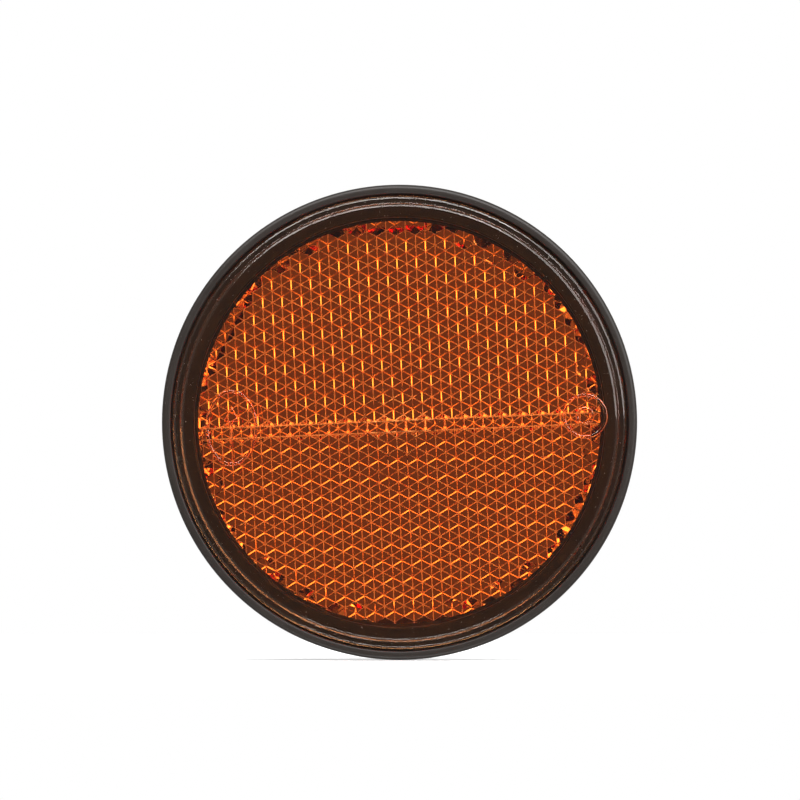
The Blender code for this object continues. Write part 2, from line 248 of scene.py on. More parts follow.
def vary_colour(material, value, other, below=None):
    """Blends the base colour, or the colour so far, towards another as the value goes from 0 to 1."""
    nodes = material.node_tree.nodes
    links = material.node_tree.links
    shader = nodes["Principled BSDF"]
    mix = nodes.new("ShaderNodeMix")
    mix.data_type = "RGBA"
    if below is None:
        mix.inputs["A"].default_value = shader.inputs["Base Color"].default_value[:]
    else:
        links.new(below, mix.inputs["A"])
    mix.inputs["B"].default_value = (*other, 1.0)
    links.new(value, mix.inputs["Factor"])
    links.new(mix.outputs["Result"], shader.inputs["Base Color"])
    return mix.outputs["Result"]


def computed(tree, operation, *values):
    """One step of arithmetic on sockets and numbers."""
    node = tree.nodes.new("ShaderNodeMath")
    node.operation = operation
    for socket, value in zip(node.inputs, values):
        if isinstance(value, (int, float)):
            socket.default_value = value
        else:
            tree.links.new(value, socket)
    return node.outputs[0]


def spot_on(material):
    """How far from the axis and how high above the panel each spot of a piece is."""
    tree = material.node_tree
    place = tree.nodes.new("ShaderNodeTexCoord")
    split = tree.nodes.new("ShaderNodeSeparateXYZ")
    tree.links.new(place.outputs["Object"], split.inputs[0])
    squares = [computed(tree, "POWER", split.outputs[axis], 2.0) for axis in ("X", "Z")]
    radius = computed(tree, "SQRT", computed(tree, "ADD", *squares))
    return radius, computed(tree, "MULTIPLY", split.outputs["Y"], -1.0)


def vary_roughness(material, value):
    links = material.node_tree.links
    links.new(value, material.node_tree.nodes["Principled BSDF"].inputs["Roughness"])


def roughen(material, heights):
    """Adds relief from (value, depth) pairs, one on top of another."""
    nodes = material.node_tree.nodes
    links = material.node_tree.links
    normal = None
    for value, depth in heights:
        bump = nodes.new("ShaderNodeBump")
        bump.inputs["Strength"].default_value = 1.0
        bump.inputs["Distance"].default_value = depth
        links.new(value, bump.inputs["Height"])
        if normal is not None:
            links.new(normal, bump.inputs["Normal"])
        normal = bump.outputs["Normal"]
    links.new(normal, nodes["Principled BSDF"].inputs["Normal"])


def housing_outline():
    groove_inner, groove_outer = groove_radii
    recess_inner, recess_outer = recess_radii
    bore = housing_radius - rim_width
    line_height, line_proud = parting_line
    bend = moulded_round
    corners = [
        (shank_bore, housing_back, 0.0), (recess_inner, housing_back, bend),
        (recess_inner, recess_floor, 0.0), (recess_outer, recess_floor, 0.0),
        (recess_outer, housing_back, bend), (groove_inner, housing_back, bend),
        (groove_inner, groove_top, bend), (groove_outer, groove_top, bend),
        (groove_outer, housing_back, bend), (housing_radius, housing_back, rim_round),
        (housing_radius, line_height - line_proud, 0.0), (housing_radius + line_proud, line_height, 0.0),
        (housing_radius, line_height + line_proud, 0.0), (housing_radius, rim_crest, rim_round),
        (bore, rim_crest, bend), (bore, lens_ledge, 0.0), (cavity_radius, lens_ledge, bend),
        (cavity_radius, cup_floor, bend), (boss_radius, cup_floor, bend), (boss_radius, boss_top, bend),
        (seal_groove_radius, boss_top, 0.0), (seal_groove_radius, seal_groove_floor, 0.0),
        (shank_bore, seal_groove_floor, 0.0),
    ]
    return rounded_outline(corners)


abs_plastic = new_material("black ABS", (0.008, 0.0058, 0.0046), 0.40)
abs_shader = abs_plastic.node_tree.nodes["Principled BSDF"]
abs_shader.inputs["Specular IOR Level"].default_value = 0.24
tone = vary_colour(abs_plastic, grain(abs_plastic, 1.6 * mm), (0.013, 0.0096, 0.0078))
dust = ranged(abs_plastic, grain(abs_plastic, 0.12 * mm, 2.0), (0.70, 0.76), (0.0, 0.7))
tone = vary_colour(abs_plastic, dust, (0.16, 0.145, 0.13), below=tone)
radius, height = spot_on(abs_plastic)
inner = ranged(abs_plastic, radius, (primer_radius, primer_radius - 0.3 * mm), (0.0, 1.0))
above = ranged(abs_plastic, height, (cup_floor - 0.4 * mm, cup_floor - 0.2 * mm), (0.0, 1.0))
floor_only = computed(abs_plastic.node_tree, "MULTIPLY", inner, above)
cover = ranged(abs_plastic, grain(abs_plastic, 1.2 * mm), (0.2, 0.5), (0.85, 1.0))
primer = computed(abs_plastic.node_tree, "MULTIPLY", cover, floor_only)
vary_colour(abs_plastic, primer, primer_colour, below=tone)
vary_roughness(abs_plastic, ranged(abs_plastic, grain(abs_plastic, 2.5 * mm), (0.3, 0.7), (0.35, 0.43)))
abs_scuffs = grain(abs_plastic, 0.15 * mm, 2.0, stretch=(1.0, 0.6, 0.08))
roughen(abs_plastic, [(grain(abs_plastic, 0.09 * mm), 0.006 * mm), (abs_scuffs, 0.004 * mm)])

housing = shaped("housing_body", turned(housing_outline(), large_segments))
pocket = shaped("head_pocket", extruded([hexagon(pocket_flats)], cup_floor, boss_top + pocket_overcut))
combine(housing, pocket, "DIFFERENCE")
soften_shading(housing, 35.0)
put_in_place(housing, "housing", abs_plastic, "reflector")

# Seal. A nitrile rubber O-ring round the stud's shank, pressed into a groove under the head so
# that no water gets past the stud. It keeps the flash line of its mould.
seal_low, seal_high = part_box("stud_seal")
cord_radius = (seal_high[1] - seal_low[1]) / 2.0
cord_centre = (seal_high[0] - cord_radius, -(seal_low[1] + seal_high[1]) / 2.0)
flash = 0.02 * mm
seal_rubber = new_material("nitrile rubber", (0.022, 0.022, 0.023), 0.5)
vary_colour(seal_rubber, grain(seal_rubber, 0.8 * mm), (0.038, 0.037, 0.036))
vary_roughness(seal_rubber, ranged(seal_rubber, grain(seal_rubber, 0.5 * mm), (0.3, 0.7), (0.42, 0.62)))
roughen(seal_rubber, [(grain(seal_rubber, 0.05 * mm), 0.004 * mm)])
cord = ellipse(cord_centre, (cord_radius, cord_radius), 24)
cord[0] = (cord[0][0] + flash, cord[0][1])
seal = shaped("seal_ring", turned(cord, 96))
seal.data.shade_smooth()
put_in_place(seal, "stud_seal", seal_rubber, "reflector")

# Stud. An M5 bolt with a thin hexagon head, zinc plated, dropped into the housing's pocket. Its
# thread is rolled: a 60 degree ridge on a helix, with a short plain shank under the head and a
# chamfered tip.
stud_low, stud_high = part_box("stud")
stud_tip = -stud_high[1]
head_front = -stud_low[1]
head_height = 2.0 * mm
head_flats = 8.0 * mm
thread_pitch = 0.8 * mm
thread_depth = 0.613 * thread_pitch
thread_radius = 2.48 * mm
tip_radius = 1.85 * mm
plain_shank = 0.9 * mm
shank_into_head = 0.5 * mm
head_corner_fall = 0.35 * mm


def tree_with(name, inputs):
    """A node tree with an output for its mesh and named inputs; also returns the inputs' sockets."""
    tree = bpy.data.node_groups.new(name, "GeometryNodeTree")
    tree.interface.new_socket("Mesh", in_out="OUTPUT", socket_type="NodeSocketGeometry")
    for label, kind in inputs:
        tree.interface.new_socket(label, in_out="INPUT", socket_type="NodeSocket" + kind)
    return tree, tree.nodes.new("NodeGroupInput").outputs


def joined(tree, kind, socket, *inputs):
    """Adds a node, links its inputs from (name, socket) pairs and returns the output asked for."""
    node = tree.nodes.new(kind)
    for name, value in inputs:
        tree.links.new(value, node.inputs[name])
    return node.outputs[socket]


def end_tree(tree, mesh, material):
    """Makes instances real, sets the material and connects the tree's output."""
    real = joined(tree, "GeometryNodeRealizeInstances", 0, (0, mesh))
    paint = tree.nodes.new("GeometryNodeSetMaterial")
    paint.inputs["Material"].default_value = material
    tree.links.new(real, paint.inputs["Geometry"])
    tree.links.new(paint.outputs["Geometry"], tree.nodes.new("NodeGroupOutput").inputs[0])


def grown(name, tree, values):
    """What the tree makes of these inputs, as a bmesh."""
    holder = bpy.data.objects.new(name, bpy.data.meshes.new(name))
    scene.collection.objects.link(holder)
    modifier = holder.modifiers.new("rule", "NODES")
    modifier.node_group = tree
    for item in tree.interface.items_tree:
        if item.in_out == "INPUT":
            modifier[item.identifier] = values[item.name]
    set_modifiers(holder)
    bm = bmesh.new()
    bm.from_mesh(holder.data)
    bpy.data.objects.remove(holder)
    return bm


def thread_tree(material):
    """A threaded rod: a grid wound on a helix, so that crest and root follow its rows."""
    inputs = [("Turns", "Int")]
    inputs += [(name, "Float") for name in ("Pitch", "Crest Radius", "Depth", "Start", "Length")]
    inputs += [(name, "Float") for name in ("Tip Radius", "Shank")]
    tree, given = tree_with("thread", inputs)
    rows_per_turn, columns = 16, 49
    half_crest, flank = 1.0 / 16.0, 5.0 / 16.0  # shares of the pitch
    run_out_slope = 0.6
    seam = 0.002 * mm
    grid = tree.nodes.new("GeometryNodeMeshGrid")
    grid.inputs["Size X"].default_value = 1.0
    grid.inputs["Size Y"].default_value = 1.0
    grid.inputs["Vertices X"].default_value = columns
    rows = computed(tree, "MULTIPLY_ADD", given["Turns"], rows_per_turn, 1.0)
    tree.links.new(rows, grid.inputs["Vertices Y"])
    spot = tree.nodes.new("GeometryNodeInputPosition").outputs[0]
    split = tree.nodes.new("ShaderNodeSeparateXYZ")
    tree.links.new(spot, split.inputs[0])
    round_share = computed(tree, "ADD", split.outputs["X"], 0.5)
    turn = computed(tree, "MULTIPLY", computed(tree, "ADD", split.outputs["Y"], 0.5), given["Turns"])
    rise = computed(tree, "SUBTRACT", computed(tree, "ADD", turn, round_share), 1.0)
    end = computed(tree, "ADD", given["Start"], given["Length"])
    height = computed(tree, "MULTIPLY_ADD", rise, given["Pitch"], given["Start"])
    height = computed(tree, "MINIMUM", computed(tree, "MAXIMUM", height, given["Start"]), end)
    in_pitch = computed(tree, "FRACT", turn)
    from_crest = computed(tree, "ABSOLUTE", computed(tree, "SUBTRACT", in_pitch, 0.5))
    fall = computed(tree, "DIVIDE", computed(tree, "SUBTRACT", from_crest, half_crest), flank)
    fall = computed(tree, "MINIMUM", computed(tree, "MAXIMUM", fall, 0.0), 1.0)
    drop = computed(tree, "MULTIPLY", fall, given["Depth"])
    ridge = computed(tree, "SUBTRACT", given["Crest Radius"], drop)
    cone = computed(tree, "ADD", given["Tip Radius"], computed(tree, "SUBTRACT", height, given["Start"]))
    to_shank = computed(tree, "SUBTRACT", computed(tree, "SUBTRACT", end, given["Shank"]), height)
    run_out = computed(tree, "MULTIPLY", computed(tree, "MAXIMUM", to_shank, 0.0), run_out_slope)
    shank = computed(tree, "SUBTRACT", given["Crest Radius"], run_out)
    radius = computed(tree, "MINIMUM", computed(tree, "MAXIMUM", ridge, shank), cone)
    angle = computed(tree, "MULTIPLY", round_share, 2.0 * math.pi)
    x = computed(tree, "MULTIPLY", radius, computed(tree, "COSINE", angle))
    y = computed(tree, "MULTIPLY", radius, computed(tree, "SINE", angle))
    place = joined(tree, "ShaderNodeCombineXYZ", 0, ("X", x), ("Y", y), ("Z", height))
    wound = joined(tree, "GeometryNodeSetPosition", 0,
                   ("Geometry", grid.outputs["Mesh"]), ("Position", place))
    merge = tree.nodes.new("GeometryNodeMergeByDistance")
    merge.inputs["Distance"].default_value = seam
    tree.links.new(wound, merge.inputs["Geometry"])
    end_tree(tree, merge.outputs["Geometry"], material)
    return tree


def threaded_rod(name, radius, start, length, end_radius):
    turns = math.ceil(length / thread_pitch) + 1
    values = {"Turns": turns, "Pitch": thread_pitch, "Crest Radius": radius, "Depth": thread_depth,
              "Start": start, "Length": length, "Tip Radius": end_radius, "Shank": plain_shank}
    bm = grown(name, helix, values)
    bmesh.ops.holes_fill(bm, edges=[edge for edge in bm.edges if edge.is_boundary])
    return shaped(name, bm)


def hexagon_blank(name, flats, low, high, low_fall, high_fall):
    """A hexagon bar whose corners are turned down by these falls to a cone at each end."""
    past = 0.1 * mm
    corner = flats / math.sqrt(3.0) + 0.01 * mm
    face_radius = flats / 2.0 - 0.1 * mm
    halves = []
    for end, inwards, fall in ((low, 1.0, low_fall), (high, -1.0, high_fall)):
        half = [(0.0, end - inwards * past), (corner, end - inwards * past)]
        if fall > 0.0:
            half[1] = (face_radius - (corner - face_radius) * past / fall, half[1][1])
            half.append((corner, end + inwards * fall))
        halves.append(half)
    turning = shaped("turning", turned(halves[0] + halves[1][::-1], 144))
    blank = shaped(name, extruded([hexagon(flats)], low, high))
    combine(blank, turning, "INTERSECT")
    return blank


zinc = new_material("zinc plating", (0.50, 0.51, 0.53), 0.36, 1.0)
clouds = ranged(zinc, grain(zinc, 1.2 * mm), (0.35, 0.65), (0.0, 1.0))
tone = vary_colour(zinc, clouds, (0.60, 0.59, 0.54))
spangle = ranged(zinc, grain(zinc, 0.35 * mm, 5.0), (0.55, 0.75), (0.0, 0.6))
vary_colour(zinc, spangle, (0.38, 0.41, 0.47), below=tone)
vary_roughness(zinc, ranged(zinc, grain(zinc, 0.6 * mm, 5.0), (0.3, 0.7), (0.24, 0.44)))
tool_marks = grain(zinc, 0.06 * mm, 2.0, stretch=(1.0, 0.1, 1.0))
roughen(zinc, [(grain(zinc, 0.08 * mm), 0.003 * mm), (tool_marks, 0.003 * mm)])

helix = thread_tree(zinc)
head_back = head_front - head_height
rod_length = head_back + shank_into_head - stud_tip
stud = threaded_rod("stud_bolt", thread_radius, stud_tip, rod_length, tip_radius)
stud_head = hexagon_blank("stud_head", head_flats, head_back, head_front, 0.0, head_corner_fall)
combine(stud, stud_head, "UNION", "MANIFOLD")
soften_shading(stud, 32.0)
put_in_place(stud, "stud", zinc, "reflector")

# Lens. A disc of mass-coloured amber acrylic with a stepped, polished edge, welded on the
# housing's ledge. Hexagonal cube corners are moulded on its back in two fields that face
# opposite ways, with a cut row between them, and two plain raised marks stand on its front.
lens_low, lens_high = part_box("lens")
mark_height = 0.15 * mm
lens_front = -lens_low[1] - mark_height
lens_thickness = 1.9 * mm
lens_back = lens_front - lens_thickness
prism_tip = -lens_high[1]
flange_radius = lens_high[0]
crown_radius = 27.65 * mm
crown_step = 0.7 * mm
flange_front = lens_front - crown_step
flat_front_radius = crown_radius - 0.7 * mm
back_round, flange_round = 0.15 * mm, 0.45 * mm
step_round, crown_round = 0.12 * mm, 0.5 * mm
prism_field_radius = 25.4 * mm
prism_width = 2.45 * mm
prism_turn = math.radians(2.4)
prism_edge_round = 0.085 * mm
prism_waviness = 0.0012 * mm
corner_rise = prism_width / math.sqrt(6.0)
hexagon_side = prism_width / math.sqrt(3.0)
row_step = 1.5 * hexagon_side
cut_row_top = 0.21 * mm
cut_row_bottom = cut_row_top - 1.38 * mm
field_slot = 0.14 * mm
upper_phase = -0.70 * mm
lower_phase = 0.80 * mm
mark_line = 0.42 * mm
mark_round = 0.95 * mark_height
oval_at, oval_radii = (-21.2 * mm, -0.7 * mm), (3.3 * mm, 4.8 * mm)
arrow_length, arrow_head = 5.6 * mm, 2.0 * mm
round_at, round_radii = (23.4 * mm, 0.8 * mm), (2.85 * mm, 1.2 * mm)

amber = new_material("amber acrylic", (1.0, 1.0, 1.0), 0.0)
amber_shader = amber.node_tree.nodes["Principled BSDF"]
amber_shader.inputs["IOR"].default_value = 1.49
amber_shader.inputs["Transmission Weight"].default_value = 1.0
dye = amber.node_tree.nodes.new("ShaderNodeVolumeAbsorption")
dye.inputs["Color"].default_value = (0.963, 0.544, 0.037, 1.0)
dye.inputs["Density"].default_value = 540.0
amber.node_tree.links.new(dye.outputs[0], amber.node_tree.nodes["Material Output"].inputs["Volume"])
radius, height = spot_on(amber)
front = ranged(amber, height, (flange_front - 0.5 * mm, flange_front - 0.3 * mm), (0.0, 1.0))
specks = ranged(amber, grain(amber, 0.22 * mm, 2.0), (0.71, 0.76), (0.0, 0.4))
hairlines = grain(amber, 0.25 * mm, 2.0, stretch=(0.05, 0.05, 1.0))
hairlines = ranged(amber, hairlines, (0.68, 0.72), (0.0, 0.25))
worn = computed(amber.node_tree, "MAXIMUM", specks, hairlines)
worn = computed(amber.node_tree, "MULTIPLY", worn, front)
vary_roughness(amber, worn)
tint = computed(amber.node_tree, "MULTIPLY", grain(amber, 4.0 * mm), front)
vary_colour(amber, tint, (0.90, 0.88, 0.84))
ripple = computed(amber.node_tree, "MULTIPLY", grain(amber, 5.0 * mm, 0.0), front)
roughen(amber, [(ripple, 0.004 * mm), (worn, -0.002 * mm)])


def cube_corner():
    """Three square faces that meet in a tip, with one of their edges along +X."""
    bm = bmesh.new()
    tip = bm.verts.new((0.0, 0.0, 0.0))
    around = []
    for i in range(6):
        rise = corner_rise if i % 2 == 0 else 2.0 * corner_rise
        angle = math.radians(60.0 * i)
        spot = (hexagon_side * math.cos(angle), hexagon_side * math.sin(angle), rise)
        around.append(bm.verts.new(spot))
    for i in (0, 2, 4):
        bm.faces.new((tip, around[i], around[i + 1], around[(i + 2) % 6]))
    return shaped("cube_corner", bm)


def prism_tree(material):
    """Rows of one tile, every other row shifted by half a tile, inside a circle."""
    inputs = [("Tile", "Object"), ("First Centre", "Vector"), ("Stem Angle", "Float")]
    inputs += [("Pitch", "Float"), ("Row Step", "Float"), ("Field Radius", "Float")]
    inputs += [("Waviness", "Float"), ("Seed", "Int")]
    tree, given = tree_with("prism rows", inputs)
    steps = 48
    weld = 0.02 * mm
    grid = tree.nodes.new("GeometryNodeMeshGrid")
    grid.inputs["Vertices X"].default_value = steps + 1
    grid.inputs["Vertices Y"].default_value = steps + 1
    tree.links.new(computed(tree, "MULTIPLY", given["Pitch"], steps), grid.inputs["Size X"])
    tree.links.new(computed(tree, "MULTIPLY", given["Row Step"], steps), grid.inputs["Size Y"])
    spot = tree.nodes.new("GeometryNodeInputPosition").outputs[0]
    split = tree.nodes.new("ShaderNodeSeparateXYZ")
    tree.links.new(spot, split.inputs[0])
    row = computed(tree, "ROUND", computed(tree, "DIVIDE", split.outputs["Y"], given["Row Step"]))
    odd = computed(tree, "FLOORED_MODULO", row, 2.0)
    shift = computed(tree, "MULTIPLY", odd, computed(tree, "MULTIPLY", given["Pitch"], 0.5))
    shift = joined(tree, "ShaderNodeCombineXYZ", 0, ("X", shift))
    offset = joined(tree, "ShaderNodeVectorMath", 0, (0, shift), (1, given["First Centre"]))
    rows = joined(tree, "GeometryNodeSetPosition", 0,
                  ("Geometry", grid.outputs["Mesh"]), ("Offset", offset))
    length = tree.nodes.new("ShaderNodeVectorMath")
    length.operation = "LENGTH"
    tree.links.new(spot, length.inputs[0])
    outside = computed(tree, "GREATER_THAN", length.outputs["Value"], given["Field Radius"])
    kept = joined(tree, "GeometryNodeDeleteGeometry", 0, ("Geometry", rows), ("Selection", outside))
    tile = joined(tree, "GeometryNodeObjectInfo", "Geometry", ("Object", given["Tile"]))
    turn = joined(tree, "ShaderNodeCombineXYZ", 0, ("Z", given["Stem Angle"]))
    tiles = joined(tree, "GeometryNodeInstanceOnPoints", 0,
                   ("Points", kept), ("Instance", tile), ("Rotation", turn))
    real = joined(tree, "GeometryNodeRealizeInstances", 0, (0, tiles))
    merge = tree.nodes.new("GeometryNodeMergeByDistance")
    merge.inputs["Distance"].default_value = weld
    tree.links.new(real, merge.inputs["Geometry"])
    chance = tree.nodes.new("FunctionNodeRandomValue")
    chance.data_type = "FLOAT_VECTOR"
    chance.inputs[0].default_value = (-1.0, -1.0, -1.0)
    tree.links.new(given["Seed"], chance.inputs["Seed"])
    shake = tree.nodes.new("ShaderNodeVectorMath")
    shake.operation = "SCALE"
    tree.links.new(chance.outputs[0], shake.inputs[0])
    tree.links.new(given["Waviness"], shake.inputs["Scale"])
    wavy = joined(tree, "GeometryNodeSetPosition", 0,
                  ("Geometry", merge.outputs[0]), ("Offset", shake.outputs[0]))
    end_tree(tree, wavy, material)
    return tree


def cut_away(bm, point, normal):
    geometry = bm.verts[:] + bm.edges[:] + bm.faces[:]
    bmesh.ops.bisect_plane(bm, geom=geometry, plane_co=point, plane_no=normal, clear_outer=True)


def prism_field(first_centre, stem, bottom, top, seed):
    """Rounded cube corners between two lines and the round edge, closed off inside the lens."""
    reach = prism_field_radius + 2.0 * hexagon_side
    values = {
        "Tile": tile, "First Centre": (*first_centre, 0.0), "Stem Angle": math.radians(stem),
        "Pitch": prism_width, "Row Step": row_step, "Field Radius": reach,
        "Waviness": prism_waviness, "Seed": seed,
    }
    bm = grown("prism_field", rows_of_prisms, values)
    ridges = [e for e in bm.edges if not e.is_boundary and e.calc_face_angle(0.0) > math.radians(45.0)]
    bmesh.ops.bevel(bm, geom=ridges, offset=prism_edge_round, offset_type="OFFSET", segments=2,
                    profile=0.5, affect="EDGES", clamp_overlap=False)
    bmesh.ops.translate(bm, verts=bm.verts, vec=(0.0, 0.0, prism_tip))
    cut_away(bm, (0.0, bottom, 0.0), (0.0, -1.0, 0.0))
    cut_away(bm, (0.0, top, 0.0), (0.0, 1.0, 0.0))
    sides = 144
    for i in range(sides):
        angle = 2.0 * math.pi * i / sides
        normal = Vector((math.cos(angle), math.sin(angle), 0.0))
        cut_away(bm, prism_field_radius * normal, normal)
    rim = [edge for edge in bm.edges if edge.is_boundary]
    walls = bmesh.ops.extrude_edge_only(bm, edges=rim)["geom"]
    for vertex in (item for item in walls if isinstance(item, bmesh.types.BMVert)):
        vertex.co.z = lens_back + lens_thickness / 2.0
    cap = [item for item in walls if isinstance(item, bmesh.types.BMEdge) and item.is_boundary]
    bmesh.ops.edgeloop_fill(bm, edges=cap)
    field = shaped("prism_field", bm)
    field.data.transform(Matrix.Rotation(prism_turn, 4, "Z"))
    return field


def arrow_outline(centre):
    across = (0.5 * mark_line, 0.5 * mark_line, 0.5 * arrow_head, 0.0)
    across += tuple(-x for x in reversed(across[:3]))
    foot = centre[1] - arrow_length / 2.0
    tip = centre[1] + arrow_length / 2.0
    neck = tip - arrow_head
    along = (foot, neck, neck, tip, neck, neck, foot)
    return [(centre[0] + x, y) for x, y in zip(across, along)]


def raised_mark(loops):
    """A line that stands on the lens's front, with its top edges rounded nearly down to it."""
    root = 2.0 * mark_height
    bm = extruded(loops, lens_front - root, lens_front + mark_height)
    bmesh.ops.recalc_face_normals(bm, faces=bm.faces)
    top = [e for e in bm.edges if all(v.co.z > lens_front for v in e.verts) and len(e.link_faces) == 2]
    crest = [e for e in top if e.calc_face_angle(0.0) > math.radians(45.0)]
    bmesh.ops.bevel(bm, geom=crest, offset=mark_round, segments=5, profile=0.5, affect="EDGES")
    return shaped("mark", bm)


def ring_loops(centre, radii, line):
    inner = (radii[0] - line, radii[1] - line)
    return [ellipse(centre, radii, 64), ellipse(centre, inner, 64)]


def keep_facets_flat(piece):
    """Smooth shading on rounded edges only, so that every prism face stays a true mirror."""
    facet_area = 0.25 * mm * mm
    sharp_beside_facet, sharp_elsewhere = 12.0, 50.0
    bm = bmesh.new()
    bm.from_mesh(piece.data)
    for face in bm.faces:
        face.smooth = True
    for edge in bm.edges:
        angle = math.degrees(edge.calc_face_angle(0.0))
        beside_facet = max(face.calc_area() for face in edge.link_faces) > facet_area
        edge.smooth = angle < (sharp_beside_facet if beside_facet else sharp_elsewhere)
    bm.to_mesh(piece.data)
    bm.free()


lens_outline = [(0.0, lens_back, 0.0), (flange_radius, lens_back, back_round)]
lens_outline += [(flange_radius, flange_front, flange_round), (crown_radius, flange_front, step_round)]
lens_outline += [(crown_radius, lens_front, crown_round), (flat_front_radius, lens_front, 0.0)]
lens_outline += [(0.0, lens_front, 0.0)]
lens = shaped("lens_body", turned(rounded_outline(lens_outline, 16), large_segments))
tile = cube_corner()
rows_of_prisms = prism_tree(amber)
half_slot = field_slot / 2.0
upper_start = (upper_phase, cut_row_top + hexagon_side)
between_start = (lower_phase + prism_width / 2.0, cut_row_bottom + row_step - hexagon_side)
lower_start = (lower_phase, cut_row_bottom - hexagon_side)
fields = [(upper_start, 90.0, cut_row_top + half_slot, prism_field_radius)]
fields += [(between_start, -90.0, cut_row_bottom + half_slot, cut_row_top - half_slot)]
fields += [(lower_start, -90.0, -prism_field_radius, cut_row_bottom - half_slot)]
for seed, field in enumerate(fields, 1):
    combine(lens, prism_field(*field, seed), "UNION")
bpy.data.objects.remove(tile)
marks = [ring_loops(oval_at, oval_radii, mark_line), [arrow_outline(oval_at)]]
marks += [ring_loops(round_at, (radius, radius), mark_line) for radius in round_radii]
for loops in marks:
    combine(lens, raised_mark(loops), "UNION")
keep_facets_flat(lens)
put_in_place(lens, "lens", amber, "reflector")

# Gasket. A flat ring die-cut from closed-cell EPDM foam and stuck in the housing's recess. It
# stands proud of the back, so that the nut squeezes it against the panel.
gasket_low, gasket_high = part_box("base_gasket")
gasket_front = -gasket_low[1]
gasket_radii = (6.0 * mm, gasket_high[0])
foam = new_material("closed-cell foam", (0.030, 0.030, 0.031), 0.85)
tone = vary_colour(foam, grain(foam, 3.0 * mm), (0.045, 0.044, 0.043))
pores = ranged(foam, grain(foam, 0.22 * mm, 2.0), (0.52, 0.66), (0.0, 0.8))
vary_colour(foam, pores, (0.010, 0.010, 0.010), below=tone)
vary_roughness(foam, ranged(foam, grain(foam, 0.5 * mm), (0.3, 0.7), (0.72, 0.92)))
roughen(foam, [(grain(foam, 0.2 * mm, 2.0), 0.05 * mm), (grain(foam, 2.5 * mm), 0.08 * mm)])
cut_edge = 0.12 * mm
gasket_corners = [(gasket_radii[0], 0.0, cut_edge), (gasket_radii[1], 0.0, cut_edge)]
gasket_corners += [(gasket_radii[1], gasket_front, cut_edge), (gasket_radii[0], gasket_front, cut_edge)]
gasket = shaped("foam_ring", turned(rounded_outline(gasket_corners), large_segments))
soften_shading(gasket, 40.0)
put_in_place(gasket, "base_gasket", foam, "reflector")

# Flat washer. Stamped from zinc-plated sheet: its front edges are rolled over by the punch, and
# its back edges are left nearly sharp.
washer_low, washer_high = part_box("flat_washer")
washer_hole = 2.8 * mm
rolled, sheared = 0.18 * mm, 0.03 * mm
washer_corners = [(washer_hole, -washer_high[1], sheared), (washer_high[0], -washer_high[1], sheared)]
washer_corners += [(washer_high[0], -washer_low[1], rolled), (washer_hole, -washer_low[1], rolled)]
flat_washer = shaped("washer", turned(rounded_outline(washer_corners), 96))
soften_shading(flat_washer, 40.0)
put_in_place(flat_washer, "flat_washer", zinc, "washers")

# Lock washer. Spring steel of a wedge-shaped section, coiled one turn, cut through and zinc
# plated. Its ends stand a little apart along the stud, so that they bite when the nut turns back.
lock_low, lock_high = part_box("lock_washer")
lock_radii = (washer_hole, lock_high[0])
lock_split = math.radians(9.0)
lock_twist = 0.22 * mm
lock_wedge = 0.05 * mm
lock_steps = 120
lock_round = 0.1 * mm
spring_steel = new_material("plated spring steel", (0.50, 0.50, 0.50), 0.34, 1.0)
tone = vary_colour(spring_steel, grain(spring_steel, 0.9 * mm), (0.62, 0.61, 0.57))
stains = ranged(spring_steel, grain(spring_steel, 0.25 * mm, 5.0), (0.58, 0.72), (0.0, 0.7))
vary_colour(spring_steel, stains, (0.30, 0.30, 0.32), below=tone)
polish = ranged(spring_steel, grain(spring_steel, 0.4 * mm, 4.0), (0.3, 0.7), (0.26, 0.48))
vary_roughness(spring_steel, polish)
roughen(spring_steel, [(grain(spring_steel, 0.06 * mm), 0.004 * mm)])
lock_back, lock_front = -lock_high[1] + lock_twist / 2.0, -lock_low[1] - lock_twist / 2.0
lock_corners = [(lock_radii[0], lock_back, lock_round)]
lock_corners += [(lock_radii[1], lock_back + lock_wedge, lock_round)]
lock_corners += [(lock_radii[1], lock_front - lock_wedge, lock_round)]
lock_corners += [(lock_radii[0], lock_front, lock_round)]


def coiled(section):
    """The section swept round the axis with a gap, rising by the twist on its way."""
    bm = bmesh.new()
    slices = []
    for i in range(lock_steps + 1):
        share = i / lock_steps
        angle = math.pi / 2.0 + lock_split / 2.0 + (2.0 * math.pi - lock_split) * share
        across, along = math.cos(angle), math.sin(angle)
        lift = lock_twist * (share - 0.5)
        slices.append([bm.verts.new((r * across, r * along, h + lift)) for r, h in section])
    for here, there in zip(slices, slices[1:]):
        for i in range(len(here)):
            j = (i + 1) % len(here)
            bm.faces.new((here[i], here[j], there[j], there[i]))
    bm.faces.new(slices[0])
    bm.faces.new(slices[-1])
    return bm


lock_washer = shaped("split_washer", coiled(rounded_outline(lock_corners)))
soften_shading(lock_washer, 45.0)
put_in_place(lock_washer, "lock_washer", spring_steel, "washers")

